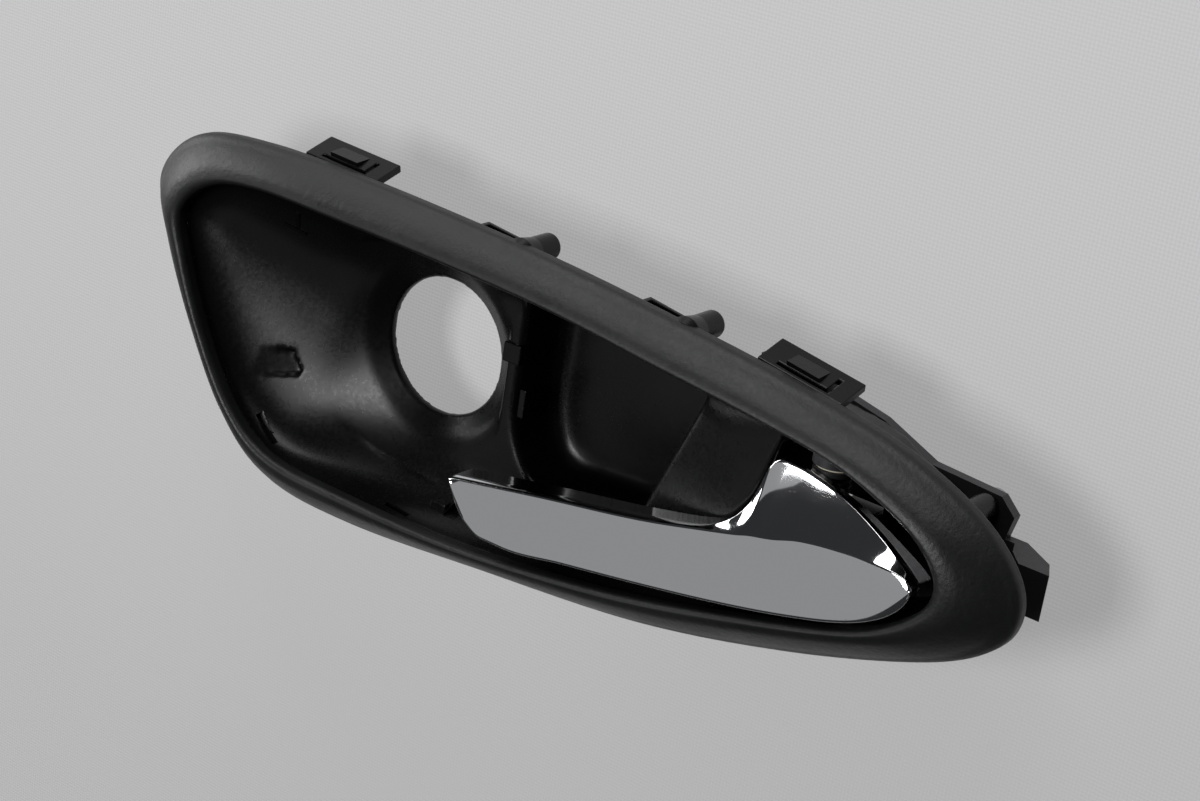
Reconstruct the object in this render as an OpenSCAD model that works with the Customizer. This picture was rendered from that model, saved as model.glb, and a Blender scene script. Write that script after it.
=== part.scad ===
// Inside door handle: trim surround, moulded bowl with a round switch socket,
// and a plated pull lever on an upright pin, sprung back by a torsion spring.
// X runs from the wide end to the pointed end, Y to the back, Z up.
// The origin is the centre of the round switch hole.

/* [Surround] */
// How far the surround's crest stands in front of the switch hole
crest_y = 24.3; // [20:0.1:30]
// How far the surround's outer edge lies behind its crest
edge_drop = 8.3; // [6:0.1:10]
// Wall of the surround
surround_wall = 2.4; // [1.8:0.1:3]
// Gap between the surround and the bowl's flange under it
surround_gap = 0.35; // [0.2:0.05:0.6]

/* [Bowl] */
// Wall of the bowl
bowl_wall = 2.2; // [1.6:0.1:3]
// Radius of the round switch hole
hole_r = 16; // [12:0.1:18]
// Radius of the funnel's mouth around the switch hole
funnel_r = 22.8; // [20:0.1:25]
// Depth of the funnel in front of the switch hole
funnel_h = 4.4; // [3:0.1:7]
// Thickness of the ring that carries the switch
socket_t = 2.4; // [1.6:0.1:4]
// How far the finger pocket's floor lies behind the switch hole
pocket_y = 9; // [5:0.5:12]
// Width of the cove's curve at the wide end
cove_w = 34; // [24:1:40]
// Width of the curve where the walls meet the pocket's floor
fillet_w = 12; // [8:0.5:16]

/* [Fixings] */
// Radius of the two locating pins
locator_r = 3; // [2:0.1:4]
// How far the locating pins' ends lie in front of the switch hole
locator_end = 3.5; // [1:0.1:8]
// Width of the clip tabs
tab_w = 21; // [14:0.5:24]
// Length of the clip tabs, front to back
tab_l = 8.5; // [6:0.1:12]
// Thickness of the clip tabs
tab_t = 1.8; // [1.2:0.1:3]
// Hole radius in the fixing inserts
insert_r = 2; // [1.5:0.05:2.5]
// Wall of the fixing inserts
insert_wall = 1; // [0.6:0.1:1.5]
// Length of the fixing inserts
insert_l = 7; // [5:0.5:10]

/* [Carrier] */
// Front of the carrier plate, behind the switch hole
plate_y = 3.4; // [3:0.1:6]
// Thickness of the carrier plate
plate_t = 2.6; // [2:0.1:4]
// Thickness of the two ears that hold the pivot pin
ear_t = 2.4; // [1.8:0.1:3]
// Radius of the ears around the pin
ear_r = 4.5; // [4:0.1:5]

/* [Lever] */
// How far the plated face stands in front of the switch hole
face_y = 25; // [24:0.1:27]
// Bulge of the plated face
face_bulge = 0.5; // [0.1:0.1:1.2]
// Wall of the plated cover
cover_wall = 1.7; // [1.2:0.1:2.2]
// Gap between the cover and the core inside it
cover_gap = 0.25; // [0.1:0.05:0.5]
// How deep the bar is, front to back
bar_depth = 7.5; // [5:0.1:8]
// Furthest that the lever swings out
swing = 32; // [20:1:45]

/* [Pivot] */
// Pivot axis along the length
pivot_x = 110; // [106:0.5:113]
// How far the pivot axis lies in front of the switch hole
pivot_y = 13; // [11:0.1:13.5]
// Radius of the pivot pin
pin_r = 2; // [1.5:0.1:2.4]
// Running clearance around the pivot pin
pin_clear = 0.05; // [0.02:0.01:0.1]
// Radius of the lever's barrel around the pin
barrel_r = 4.2; // [3.6:0.1:4.4]
// Length of the cable arm behind the pivot
arm_l = 28; // [22:0.5:30]
// Width of the cable arm
arm_w = 8; // [6:0.5:9]
// Thickness of the cable arm
arm_t = 7; // [5:0.5:8]
// Radius of the cable nipple's seat
nipple_r = 2.6; // [2:0.1:3]

/* [Spring] */
// Radius of the spring's wire
wire_r = 0.55; // [0.4:0.05:0.7]
// Turns in the spring's coil
coil_turns = 5; // [3:1:6]

/* [Hidden] */
$fn = 48;

// Outline of the surround's outer edge, from the pointed end round over the top (x, z)
outer_points = [
  [157.2, 0.5], [154, 9], [143.4, 17.6], [125, 24.7], [101, 29], [76, 32], [45, 35], [15, 36.8],
  [-15, 37.7], [-45, 37.4], [-66, 33.8], [-76.5, 22.5], [-73, 9.5], [-63, -9], [-49.5, -29],
  [-34, -41], [-8, -43], [30, -39.6], [73, -35], [110, -26.5], [140, -16.2], [153.5, -7.8]];
// Outline of the opening, point for point with the outer edge (x, z)
inner_points = [
  [141.4, 2], [138.5, 8], [131, 13.3], [115.5, 19], [95, 22], [72, 24.3], [43, 27.3], [15, 28.5],
  [-14, 29], [-40, 29], [-55, 25.5], [-63, 17.2], [-60.5, 7], [-53, -8.5], [-42, -24], [-29, -32],
  [-6, -33.5], [28, -32.8], [68, -27.5], [102, -19.6], [126, -12.4], [138, -4.6]];
flange_t = bowl_wall * 0.9;
// Back of the surround's outer edge, with a gap behind it
edge_back = -crest_y + 10.1 * edge_drop / 8.3 + 0.35;
tab_flare = 18;
// Screws that hold the carrier to the bowl: x, z, and where the bowl's boss starts
screw_r = 1.4;
screw_l = 10;
screw_end = plate_y + plate_t - screw_l;
// Gap round screws and inserts that are driven into a moulding
press_gap = 0.05;
boss_r = 3;
boss_at = [[92.5, 14.5, -13], [88, -15, -14.5], [136.8, 11.4, -19.8]];
// Threaded inserts for the fixing screws: x, z, and where the lug starts
insert_at = [[-50, 20, -17], [12, -35.2, -15.6]];
insert_y = -1;
lug_r = insert_r + insert_wall + 1.8;
// Length of the locating pins' tapered root
locator_root = 4;
// Locating pins: x, z and the slope of the edge there
locator_at = [[27.4, 33.4, 6], [71.2, 30, 8]];
// Screws that hold the plated cover to the core (x, z)
cover_screw_at = [[52, -19.2], [86, -13.4]];
cover_screw_r = 1.1;
cover_boss_r = 2.4;
// Back of the screw bosses inside the plated cover
cover_boss_y = -19.4;
socket_flat = 20.9;
// Gap round the switch ring in the bowl's hole
ring_gap = 0.15;
// Reach of cuts that pass right through the handle
far = 200;
// Pivot: ends of the barrel, and inner faces of the ears
barrel_z0 = -11.4;
barrel_z1 = 14.3;
bush_flange = 0.6;
ear_z0 = barrel_z0 - bush_flange - 0.1;
ear_z1 = barrel_z1 + bush_flange + 0.1;
bush_r = pin_r + 0.8;
arm_z = -2;
nipple_y = arm_l - pivot_y;
steps = 3;
stations = len(outer_points) * steps;
half = stations / 2;

function lerp(a, b, t) = a + (b - a) * t;
function clamp01(t) = min(1, max(0, t));
function ease(a, b, x) = let (t = clamp01((x - a) / (b - a))) t * t * (3 - 2 * t);
function knot(p, i) = p[(i + len(p)) % len(p)];
// A closed curve through the points, with some steps between each two
function curve(p, n) = [
  for (i = [0:len(p) - 1], k = [0:n - 1])
    let (a = knot(p, i - 1), b = p[i], c = knot(p, i + 1), d = knot(p, i + 2), t = k / n)
      0.5 * (2 * b + (c - a) * t + (2 * a - 5 * b + 4 * c - d) * t * t
             + (3 * b - a - 3 * c + d) * t * t * t)];
// A value at x from a list of (x, value) pairs, eased between them
function along(p, x, i = 0) =
  x <= p[0][0] ? p[0][1]
  : x >= p[len(p) - 1][0] ? p[len(p) - 1][1]
  : x <= p[i + 1][0] ? lerp(p[i][1], p[i + 1][1], (x - p[i][0]) / (p[i + 1][0] - p[i][0]))
  : along(p, x, i + 1);

outer_edge = curve(outer_points, steps);
inner_edge = curve(inner_points, steps);
// Point of station i, a share u of the way from the opening to the outer edge
function band(i, u) = lerp(inner_edge[i % stations], outer_edge[i % stations], u);

// Side faces between rows of n points each, and flat ends where they are wanted
function skin(rows, n, closed) = [
  for (r = [0:rows - (closed ? 1 : 2)], i = [0:n - 1])
    let (a = r * n, b = ((r + 1) % rows) * n, j = (i + 1) % n)
      each [[a + i, b + j, a + j], [a + i, b + i, b + j]]];

// The same faces seen from their other side
function turned(faces) = [for (f = faces) [f[2], f[1], f[0]]];

// A slab of a drawing in x and z, from depth y0 back to depth y1
module slab(y0, y1) {
  translate([0, y1, 0]) rotate([90, 0, 0]) linear_extrude(y1 - y0) children();
}
// A moulding whose curved skins are taken together
module moulded() {
  resize([0, 0, 0]) union() children();
}
// A round bar along the depth
module peg(x, y0, y1, z, r) {
  translate([x, y0, z]) rotate([-90, 0, 0]) cylinder(h = y1 - y0, r = r);
}

// Surround

// Section of the surround: share of the band's width, and depth behind the crest
surround_front = [
  [0.00, 3.4], [0.00, 1.4], [0.05, 0.4], [0.14, 0.0], [0.36, 0.9], [0.62, 3.2], [0.85, 6.0],
  [0.96, 7.3], [1.00, 8.6]];
surround_back = [[1.00, 10.1], [0.93, 10.1], [0.62, 5.8], [0.22, 2.7], [0.10, 3.4]];
drop_scale = edge_drop / 8.3;
back_scale = surround_wall / 2.4;
function front_y(k) = -crest_y + surround_front[k][1] * drop_scale;
surround_section = concat(
  [for (p = surround_front) [p[0], -crest_y + p[1] * drop_scale]],
  [for (p = surround_back) [p[0], -crest_y + (p[1] - 2.4) * drop_scale + 2.4 * back_scale]]);
// Depth of the surround's underside at a share u of its width
function underside(u) = -crest_y + surround_wall + 0.1 + drop_scale * (u < 0.22 ? 0.3 : lerp(0.3, 7.6, (u - 0.22) / 0.71));

module bezel() {
  n = len(surround_section);
  points = [
    for (i = [0:stations - 1], p = surround_section) let (q = band(i, p[0])) [q[0], p[1], q[1]]];
  color("#26272a") polyhedron(points, skin(stations, n, true), convexity = 8);
}

// Bowl

rim_y = -crest_y + 3.4 * drop_scale + surround_gap;
spine_a = -8;
spine_b = 118;
opening_x0 = -63;
opening_x1 = 141.4;
flange_rows = 3;
dish_rows = 10;
function spine(i) =
  let (x = (band(i, 0.03)[0] + band(stations - i, 0.03)[0]) / 2)
    [lerp(spine_a, spine_b, (x - opening_x0) / (opening_x1 - opening_x0)), 1];
// The cover over the pivot leans: lines of equal depth run along x - 0.46 z
function lean(x, z) = x - 0.46 * (z - 16);
cover_y = 15.8;
// The floor at the wide end rises away from the switch hole
floor_slope = 0.2;
function rise(x, z) = floor_slope * max(0, norm([x, z]) - funnel_r) * (1 - ease(-6, 24, x));
// Depth of the bowl's floor before the pocket is sunk into it
function floor_y(x, z) =
  let (s = lean(x, z)) lerp(-funnel_h - rise(x, z), -cover_y, pow(clamp01((s - 66) / 32), 0.8));
// Width of the curve between wall and floor at a rim point
function curve_w(p) =
  let (wide = lerp(cove_w, fillet_w, ease(-52, 0, p[0]))) lerp(wide, 3, ease(84, 104, p[0]));
function quarter(t) = let (c = clamp01(t)) sqrt(1 - (1 - c) * (1 - c));
function dish_share(k) = 0.95 * pow(k / dish_rows, 1.7);
// Points of the bowl's skins: row k, station i, back 0 for the face and 1 for the rear
function flange_point(k, i, back) =
  let (u = lerp(0.86, 0.08, k / flange_rows), q = band(i, u))
    [q[0], underside(u) + surround_gap + back * flange_t, q[1]];
function dish_point(k, i, back) =
  let (rim = band(i, 0.03), s = spine(i), t = dish_share(k), q = lerp(rim, s, t),
       d = t * norm(s - rim), share = clamp01(d / curve_w(rim)),
       y = lerp(rim_y, floor_y(q[0], q[1]), quarter(share)),
       out = (rim - s) / norm(s - rim) * bowl_wall * (1 - quarter(share)) * back)
    [q[0] + out[0], y + back * bowl_wall * lerp(0.75, 1, share), q[1] + out[1]];
bowl_rows = flange_rows + dish_rows + 1;
function bowl_point(r, i, back) =
  r < flange_rows ? flange_point(r, i, back) : dish_point(r - flange_rows, i, back);
// Faces that close the middle of a skin, between the upper and the lower half
function zip(base, flip) = [
  for (i = [0:half - 1])
    let (a = base + i, b = base + i + 1,
         c = base + (stations - i - 1) % stations, d = base + (stations - i) % stations,
         quads = i == 0 ? [[a, b, c]] : i == half - 1 ? [[a, b, d]] : [[a, b, c], [a, c, d]])
      each (flip ? turned(quads) : quads)];

module bowl_shell() {
  front = [for (r = [0:bowl_rows - 1], i = [0:stations - 1]) bowl_point(r, i, 0)];
  rear = [for (r = [bowl_rows - 1:-1:0], i = [0:stations - 1]) bowl_point(r, i, 1)];
  total = 2 * bowl_rows;
  // The two skins meet at the flange's edge, and each is closed along its middle
  side = [
    for (r = [0:total - 1], i = [0:stations - 1]) if (r != bowl_rows - 1)
      let (a = r * stations, b = ((r + 1) % total) * stations, j = (i + 1) % stations)
        each [[a + i, b + j, a + j], [a + i, b + i, b + j]]];
  polyhedron(
    concat(front, rear),
    concat(side, zip((bowl_rows - 1) * stations, true), zip(bowl_rows * stations, false)),
    convexity = 10);
}

// The space in front of the bowl's face
module bowl_space() {
  n = dish_rows + 2;
  points = [
    for (r = [0:n - 1], i = [0:stations - 1])
      let (q = dish_point(max(r - 1, 0), i, 0)) r == 0 ? [q[0], -60, q[2]] : q];
  polyhedron(
    points,
    concat(turned(skin(n, stations, false)), zip(0, true), zip((n - 1) * stations, false)),
    convexity = 10);
}

// Finger pocket behind the lever's bar: mouth outline, and its walls grown by a wall
pocket_mouth = [[23.4, 23.5], [23.4, -12], [32, -23], [62, -20.5], [77, 20]];
pocket_draft = 3;
pocket_round = 4;
module pocket(grow) {
  module level(inset) {
    offset(pocket_round + grow, $fn = 16) offset(-pocket_round - inset) polygon(pocket_mouth);
  }
  slab(-22, -8.5) level(0);
  hull() {
    slab(-9, -8.5) level(0);
    slab(pocket_y + grow - 0.5, pocket_y + grow) level(pocket_draft);
  }
}

// Well round the pivot: it follows the opening in front and narrows towards the carrier
well_x0 = 82;
// Half height of the well behind the cover
well_side = 17;
well_back = [
  [well_x0, 22], [98, 20.4], [110, 18.6], [116, 17], [120, 14.6], [127, 11.8], [134, 8.8], [139.8, 4.6],
  [141.2, 0], [140, -3.6], [136.6, -7], [131, -11], [124, -14], [112, -17.6], [well_x0, -22]];
module well(grow) {
  front = rim_y + (grow > 0 ? 1.3 : -0.1);
  hull() {
    slab(front, front + 0.5) intersection() {
      offset(1 + grow, $fn = 12) polygon(inner_edge);
      translate([well_x0 - grow, -far]) square(2 * far);
    }
    slab(plate_y - 0.5, plate_y - 0.02) offset(grow, $fn = 12) polygon(well_back);
  }
}
// Free edge of the pivot's cover, beside the lever's neck (x, z)
window_edge = [[99.6, 30], [99.6, 20], [97.8, 13], [96.6, 8], [94.6, 2], [91.4, -4], [91, -12], [91, -30]];
module window() {
  slab(-40, 40) polygon(concat(window_edge, [[160, -30], [160, 30]]));
}

// Clip tab: a flared plate with a spring tongue and a wedge that catches the trim
module clip_tab(x, z, slope) {
  slot = 1;
  tongue_w = tab_w * 0.62;
  tongue_l = tab_l * 0.6;
  translate([x, edge_back, z]) rotate([0, slope, 0]) rotate([tab_flare, 0, 0])
    translate([-tab_w / 2, 0, -tab_t]) {
      difference() {
        cube([tab_w, tab_l, tab_t]);
        translate([(tab_w - tongue_w) / 2, 1, -1]) cube([tongue_w, slot, tab_t + 2]);
        translate([(tab_w + tongue_w) / 2 - slot, 1, -1]) cube([slot, tongue_l, tab_t + 2]);
      }
      translate([tab_w * 0.27, 2.2, tab_t - 0.05]) hull() {
        cube([tab_w * 0.38, 0.4, 1.1]);
        cube([tab_w * 0.38, tab_l * 0.5, 0.1]);
      }
      // Root that joins the tab to the flange
      translate([0, -3.2, -2.3]) cube([tab_w, 4, 1.5]);
      translate([0, 0.05, -2.3]) cube([tab_w, 1.1, 2.6]);
    }
}
// Open frame beside a locating pin
module pin_frame(x, z, slope) {
  frame_w = 10.6;
  frame_l = locator_root - 0.5;
  frame_h = 3;
  wall = 1.1;
  translate([x - locator_r * 0.6, edge_back, z]) rotate([0, slope, 0]) translate([-frame_w, 0, -1]) {
    difference() {
      cube([frame_w, frame_l, frame_h]);
      translate([wall, -wall, -1]) cube([frame_w - 2 * wall, frame_l, frame_h + 2]);
    }
    translate([0, -2.4, 0]) cube([frame_w, 2.6, 1.2]);
  }
}

// Hole for the switch ring, flat on the pocket's side
module funnel_hole() {
  intersection() {
    peg(0, -far, far, 0, funnel_r, $fn = 60);
    translate([-far, -far, -far]) cube([far + socket_flat + ring_gap, 2 * far, 2 * far]);
  }
}
// Raised detail on the bowl's face: outlines in x and z, and how far they stand out
module relief(h) {
  intersection() {
    slab(-30, 20) children();
    difference() {
      translate([0, 0.8, 0]) bowl_space();
      translate([0, -h, 0]) bowl_space();
    }
  }
}
// Slots along the rim for the surround's hooks: place, and the rim's slope there
slot_at = [[[-31.4, -12, -24.4], 31.5], [[3, -12.6, -31.6], 1.5]];
slot_size = [4.6, 1.6, 7];
// Ramp sunk into the cove: outline (x, z), where it starts and how fast it falls
ramp_outline = [[-37.1, -16.1], [-27.5, -14.5], [-30.2, -7.8], [-35.8, -11.2]];
ramp_x0 = -37.5;
ramp_fall = 0.12;
module bowl_cuts() {
  for (p = slot_at) translate(p[0]) rotate([0, p[1], 0]) cube(slot_size, center = true);
  translate([14.2, -24, -29.8]) cube([3.4, 20, 1.9]);
  intersection() {
    slab(-30, 0) polygon(ramp_outline);
    multmatrix([[1, 0, 0, 0], [ramp_fall, 1, 0, -ramp_fall * ramp_x0], [0, 0, 1, 0]]) bowl_space();
  }
}
// Walls and lugs behind the bowl's face; they start inside its thickness
module bowl_back() {
  difference() {
    union() {
      pocket(bowl_wall);
      well(bowl_wall);
      for (p = insert_at) peg(p[0], p[2], insert_y + insert_l, p[1], lug_r);
    }
    translate([0, 0.8, 0]) bowl_space();
  }
}
module bowl_mould() {
  difference() {
    union() {
      bowl_shell();
      bowl_back();
    }
    pocket(0);
    funnel_hole();
    // The well is open in front only beside the cover
    difference() {
      well(0);
      difference() {
        union() {
          translate([0, bowl_wall + 0.4, 0]) bowl_space();
          for (side = [-1, 1]) translate([0, -far, side * (well_side + far) - far]) cube(2 * far);
        }
        window();
      }
    }
    for (p = insert_at) peg(p[0], insert_y, 60, p[1], insert_r + insert_wall + press_gap);
    for (p = boss_at) peg(p[0], screw_end - 1, 60, p[1], boss_r - 0.2);
    bowl_cuts();
  }
  relief(0.7) {
    translate([-35, 16]) square([6, 1]);
    translate([-32.5, 16.5]) square([1, 3.5]);
  }
  // Snap block beside the lever's free end
  relief(1.8) translate([9.6, -30]) square([4.2, 2.2]);
  difference() {
    for (p = boss_at) peg(p[0], p[2], plate_y - 0.02, p[1], boss_r);
    for (p = boss_at) peg(p[0], screw_end - 1, 60, p[1], screw_r + press_gap);
  }
  clip_tab(-25, 37.6, 2.5);
  clip_tab(99.2, 29.2, 8.7);
  for (p = locator_at) {
    pin_frame(p[0], p[1], p[2]);
    // Root that joins the locating pin to the flange
    peg(p[0], edge_back - 2.4, edge_back + 1.5, p[1] - 1.1, locator_r - 1.2);
  }
}
module bowl() {
  color("#1c1d1f") {
    moulded() bowl_mould($fn = 24);
    for (p = locator_at) {
      peg(p[0], edge_back + locator_root, -locator_end, p[1], locator_r);
      // Tapered root of the pin
      translate([p[0], edge_back, p[1]]) rotate([-90, 0, 0])
        cylinder(h = locator_root, r1 = locator_r + 0.6, r2 = locator_r);
    }
  }
}

// Ring that carries the switch, with its funnel and a key for the switch
module switch_socket() {
  seat = -funnel_h + bowl_wall + 0.05;
  color("#17181a") union() {
    intersection() {
      rotate([-90, 0, 0]) rotate_extrude($fn = 96)
        polygon([
          [hole_r, 0], [hole_r + 0.6, -0.5], [funnel_r - 0.9, -funnel_h + 0.3],
          [funnel_r - ring_gap, -funnel_h + 0.3], [funnel_r - ring_gap, seat], [funnel_r + 2, seat],
          [funnel_r + 2, seat + 1.6], [hole_r + 3.4, socket_t], [hole_r, socket_t]]);
      translate([-far, -far, -far]) cube([far + socket_flat, 2 * far, 2 * far]);
    }
    translate([hole_r + 1.5, -1.4, 2]) cube([socket_flat - hole_r - 1.5, 1.8, 4.5]);
  }
}

// Lever

// Lower edge, crease and neck edge of the plated face along the length (x, z)
lower_edge = [
  [25, -17.6], [25.6, -20], [27.5, -23.2], [30.5, -26], [35, -28], [41, -28], [57, -25.5],
  [77.4, -22.2], [97, -18.6], [111.6, -15.3], [124, -11.6], [131, -8.2], [135.5, -4.4], [137.5, -1],
  [138, 1.2]];
crease_edge = [
  [25, -16.9], [49, -12.3], [74.6, -7.7], [90, -4], [98.5, -2], [105.5, -0.4], [112, 1.8],
  [119, 3], [126, 3.6], [132, 3.6], [135.5, 3.2], [138, 1.6]];
neck_edge = [
  [25, -16.6], [49, -12], [74.6, -7.4], [88, -4.2], [92, -2.4], [95, 0], [97, 3], [98.6, 7.8],
  [99.6, 11.5], [100.8, 13.8], [102.4, 14.7], [105, 14.6], [112.6, 13.2], [120.2, 10.8], [126.8, 8],
  [132, 5.4], [135.5, 3.5], [138, 1.8]];
neck_back = [[25, 0.5], [86, 0.6], [94, 2], [99, 4.4], [112, 5.2], [128, 3.6], [138, 0.8]];
lever_x = [
  25, 25.5, 26.4, 27.8, 29.6, 32, 35, 40, 48, 57, 66, 75, 82, 87, 90, 92.5, 94.5, 96, 97.2, 98.2, 99,
  99.8, 100.8, 102.4, 104.5, 108, 112.5, 117, 121, 125, 128, 131, 133.5, 135.5, 137, 138];
function bulge(t) = face_bulge * 4 * t * (1 - t);

// Outer section of the plated cover at x: points of depth and height
function cover_section(x, inset, back) =
  let (zb = along(lower_edge, x) + inset, zc = along(crease_edge, x) - inset * 0.4,
       zn = along(neck_edge, x) - inset, yf = -face_y + inset,
       yn = min(yf + along(neck_back, x), back - 0.6),
       lo = min(zb, zn - 0.3), top = max(zn, lo + 0.3), mid = min(max(zc, lo + 0.1), top - 0.1))
    [
      [max(yf + 3, -face_y + 3), lo + 0.15],
      [yf + 1, lo],
      [yf + 0.25, lo + min(0.6, 0.2 * (top - lo))],
      for (t = [0.2, 0.5, 0.8]) [yf - bulge(t), lerp(lo, mid, t)],
      [yf, mid],
      for (t = [0.35, 0.7]) [lerp(yf, yn, t) + 0.5 * sin(180 * t) * (top - mid) / 12, lerp(mid, top, t)],
      [yn, top],
      [yn + 0.5, top + 0.02],
      [back, top - 0.02]];

module lever_cover() {
  back = -face_y + bar_depth;
  n = 2 * 12;
  inner_x = function (x) lerp(lever_x[0] + cover_wall, 138 - cover_wall, (x - 25) / 113);
  points = [
    for (x = lever_x)
      let (xi = inner_x(x), o = cover_section(x, 0, back), q = cover_section(xi, cover_wall, back))
        each concat([for (p = o) [x, p[0], p[1]]],
                    [for (k = [len(q) - 1:-1:0]) [xi, q[k][0], q[k][1]]])];
  rows = len(lever_x);
  cap = [for (k = [0:n / 2 - 2]) each [[k, k + 1, n - 2 - k], [k, n - 2 - k, n - 1 - k]]];
  faces = concat(
    skin(rows, n, false),
    cap,
    [for (f = cap) [for (k = [2:-1:0]) f[k] + (rows - 1) * n]]);
  color("#c9ccd0") moulded() difference() {
    union() {
      polyhedron(points, turned(faces), convexity = 8);
      for (p = cover_screw_at) peg(p[0], -face_y + 1, cover_boss_y, p[1], cover_boss_r);
    }
    for (p = cover_screw_at) peg(p[0], -face_y + 1.6, 0, p[1], cover_screw_r);
  }
}

// Core that fills the cover, with the pivot's barrel and the cable arm
core_x = [
  28, 32, 38, 48, 60, 75, 86, 88, 92, 95, 97, 98.6, 99.6, 100.8, 102.4, 105, 112.6, 118, 124, 131,
  134.4];
function core_section(x) =
  let (fit = cover_wall + cover_gap, zlo = along(lower_edge, x) + fit + 0.2,
       zhi = max(along(neck_edge, x) - fit - 0.3, zlo + 2),
       zc = min(max(along(crease_edge, x) - fit - 0.6, zlo + 1.2), zhi - 0.5),
       yf = -face_y + fit, yb = core_back,
       yn = min(yf + along(neck_back, x) + 1.8, yb - 0.5))
    [[yf + 1.2, zlo], [yf, zlo + 1.1], [yf, zc], [yn, zhi], [yb, zhi], [yb, zlo]];
core_back = -face_y + bar_depth - 0.2;

// The arm's outline in its own plane: pivot at the origin, the cable's nipple at its end
module arm_outline() {
  translate([-arm_w / 2, -3]) square([arm_w, arm_l + 3]);
  translate([0, arm_l]) circle(nipple_r + 2.2);
}

module lever_core() {
  n = 6;
  points = [for (x = core_x, p = core_section(x)) [x, p[0], p[1]]];
  rows = len(core_x);
  last = (rows - 1) * n;
  cap = [[0, 1, 2], [0, 2, 3], [0, 3, 4], [0, 4, 5]];
  faces = concat(skin(rows, n, false), cap, [for (f = cap) [for (k = [2:-1:0]) f[k] + last]]);
  color("#202124") difference() {
    union() {
      difference() {
        polyhedron(points, turned(faces), convexity = 4);
        for (p = cover_screw_at) peg(p[0], -60, cover_boss_y + 0.2, p[1], cover_boss_r + 0.25);
        for (p = cover_screw_at) peg(p[0], -60, 0, p[1], cover_screw_r + 0.2);
      }
      translate([pivot_x, -pivot_y, barrel_z0]) cylinder(h = spring_z0 - barrel_z0, r = barrel_r);
      translate([pivot_x, -pivot_y, barrel_z0]) cylinder(h = barrel_z1 - barrel_z0, r = neck_r);
      translate([pivot_x, -pivot_y, spring_z1]) cylinder(h = barrel_z1 - spring_z1, r = barrel_r);
      translate([pivot_x - barrel_r, core_back - 1, barrel_z0])
        cube([2 * barrel_r, -pivot_y - core_back + 1, spring_z0 - barrel_z0]);
      translate([pivot_x, -pivot_y, arm_z - arm_t / 2]) linear_extrude(arm_t) arm_outline();
    }
    translate([pivot_x, -pivot_y, barrel_z0 - 1])
      cylinder(h = barrel_z1 - barrel_z0 + 2, r = pin_r + pin_clear);
    translate([pivot_x, nipple_y, arm_z - arm_t / 2 - 1]) cylinder(h = arm_t + 2, r = nipple_r);
    translate([pivot_x, nipple_y - 0.9, arm_z - 0.9]) cube([12, 1.8, 1.8]);
  }
}
spring_z0 = 5.6;
spring_z1 = 13.2;
neck_r = 2.9;

module pivot_pin() {
  color("#b9bcc0") translate([pivot_x, -pivot_y, 0]) difference() {
    union() {
      translate([0, 0, ear_z0 - ear_t - 1.2]) cylinder(h = ear_z1 - ear_z0 + 2 * ear_t + 1.2, r = pin_r);
      translate([0, 0, ear_z1 + ear_t]) cylinder(h = 0.8, r = pin_r + 1);
    }
    translate([0, 0, ear_z0 - ear_t - 0.55]) rotate_extrude() translate([pin_r - 0.35, 0]) square([2, 0.5]);
  }
}

module pivot_bushes() {
  color("#d9d4c4") for (side = [0, 1])
    translate([pivot_x, -pivot_y, side == 0 ? ear_z0 : ear_z1]) mirror([0, 0, side]) difference() {
      union() {
        translate([0, 0, -ear_t]) cylinder(h = ear_t, r = bush_r);
        cylinder(h = bush_flange, r = bush_r + 0.9);
      }
      translate([0, 0, -ear_t - 1]) cylinder(h = ear_t + bush_flange + 2, r = pin_r);
    }
}

// Open ring in the pin's groove
module pin_clip() {
  color("#8f9296") translate([pivot_x, -pivot_y, ear_z0 - ear_t - 0.55]) difference() {
    translate([0, 0, 0.02]) cylinder(h = 0.46, r = pin_r + 1.5);
    translate([0, 0, -1]) cylinder(h = 3, r = pin_r - 0.3);
    translate([-(pin_r - 0.8), 0, -1]) cube([2 * (pin_r - 0.8), 8, 3]);
  }
}

// Carrier: a plate behind the well, with the pin's ears, stops, cable clip and end tongue
plate_outline = [
  [well_x0 - 2.2, 25], [101.8, 22.6], [110.7, 20.7], [123.2, 15.4], [139.6, 14.4], [143.2, 11], [141.4, 3],
  [142, -4], [130, -14], [104, -21], [well_x0 - 2.2, -24]];
buffer_t = 2.4;
rest_x = pivot_x + arm_w / 2 + 0.3;
travel_s = 19.5;
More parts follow.
